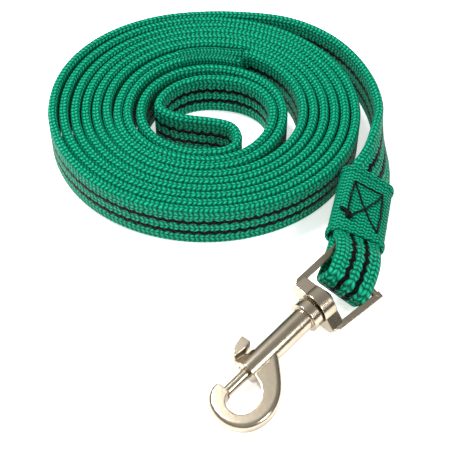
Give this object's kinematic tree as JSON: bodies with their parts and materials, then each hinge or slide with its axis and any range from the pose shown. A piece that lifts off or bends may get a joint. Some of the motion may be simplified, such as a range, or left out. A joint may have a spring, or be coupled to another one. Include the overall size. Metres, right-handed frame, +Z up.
{
  "type": "lead rope",
  "caption": "Flat webbing lead coiled on its edge, one end sewn back as a handle loop, the other sewn round the eye of a swivel bolt snap.",
  "frame": {"origin": "middle of the footprint of the lead as it lies, on the surface it lies on", "axes": "+Z up from the surface; +Y from the snap towards the coil, along the longest side; +X to the side where the snap end hangs off the coil"},
  "size_m": [0.1466, 0.2161, 0.0205],
  "materials": {
    "webbing": "woven green webbing with two black lines",
    "tape": "plain ribbed green tape",
    "thread": "black sewing thread",
    "nickel": "polished nickel plate, slightly warm",
    "spring_steel": "drawn wire"
  },
  "bodies": {
    "webbing": {"lead_coil": "webbing", "handle_turn": "webbing", "handle_tongue": "webbing", "handle_splice": "webbing", "splice_tape_outer": "tape", "splice_tape_inner": "tape", "splice_stitching": "thread", "lead_run": "webbing", "lead_twist": "webbing", "snap_end_strap": "webbing", "snap_end_fold": "webbing", "snap_end_sleeve": "tape", "box_stitching_front": "thread", "box_stitching_back": "thread", "bar_tack": "thread"},
    "eye": {"swivel_eye": "nickel"},
    "snap": {"snap_body": "nickel", "swivel_rivet": "nickel", "bolt_spring": "spring_steel"},
    "bolt": {"snap_bolt": "nickel", "thumb_lug": "nickel"}
  },
  "joints": [
    {"name": "eye_hinge", "type": "hinge", "parent": "webbing", "child": "eye", "pos_m": [0.05237, -0.04186, 0.01042], "axis": [0.643, -0.6371, -0.4251], "range_deg": [-100, 90]},
    {"name": "snap_swivel", "type": "hinge", "parent": "eye", "child": "snap", "pos_m": [0.0364, -0.0569, 0.0088], "axis": [-0.6915, -0.716, -0.0958], "continuous": true},
    {"name": "bolt_slide", "type": "slide", "parent": "snap", "child": "bolt", "axis": [0.6915, 0.716, 0.0958], "range_m": [0, 0.008], "stiffness_N_per_m": 900, "springref_m": -0.003, "deforming": ["bolt_spring"]}
  ]
}
